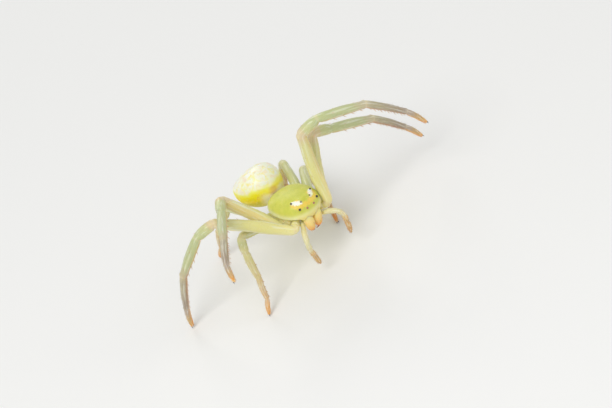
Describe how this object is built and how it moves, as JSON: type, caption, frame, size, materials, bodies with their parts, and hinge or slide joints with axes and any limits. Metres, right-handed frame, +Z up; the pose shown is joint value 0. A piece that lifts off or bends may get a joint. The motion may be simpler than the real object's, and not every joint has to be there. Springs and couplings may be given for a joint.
{
  "type": "crab spider",
  "caption": "Still life-size crab spider standing on its feet with its long left front legs raised and spread and its small back legs tucked close",
  "frame": {"origin": "middle of the underside of the bounding box, on the floor that the feet stand on", "axes": "+Z up, the head faces -Y, the spider's own left side is +X"},
  "size_m": [0.0134, 0.0094, 0.0069],
  "materials": {
    "carapace": "satin, slightly translucent yellow-green",
    "abdomen": "satin, cream with yellow flanks",
    "spinnerets": "satin",
    "chelicerae": "satin",
    "palps": "satin",
    "eyes_dark": "glossy",
    "eyes_pale": "glossy",
    "legs": "satin, slightly translucent"
  },
  "bodies": {
    "root": {"carapace": "carapace", "abdomen": "abdomen", "spinnerets": "spinnerets", "chelicera_left": "chelicerae", "palp_left": "palps", "eye_anterior_median_left": "eyes_pale", "eye_anterior_lateral_left": "eyes_dark", "eye_posterior_median_left": "eyes_pale", "eye_posterior_lateral_left": "eyes_dark", "leg_left_1": "legs", "leg_left_2": "legs", "leg_left_3": "legs", "leg_left_4": "legs", "chelicera_right": "chelicerae", "palp_right": "palps", "eye_anterior_median_right": "eyes_pale", "eye_anterior_lateral_right": "eyes_dark", "eye_posterior_median_right": "eyes_pale", "eye_posterior_lateral_right": "eyes_dark", "leg_right_1": "legs", "leg_right_2": "legs", "leg_right_3": "legs", "leg_right_4": "legs"}
  },
  "joints": []
}
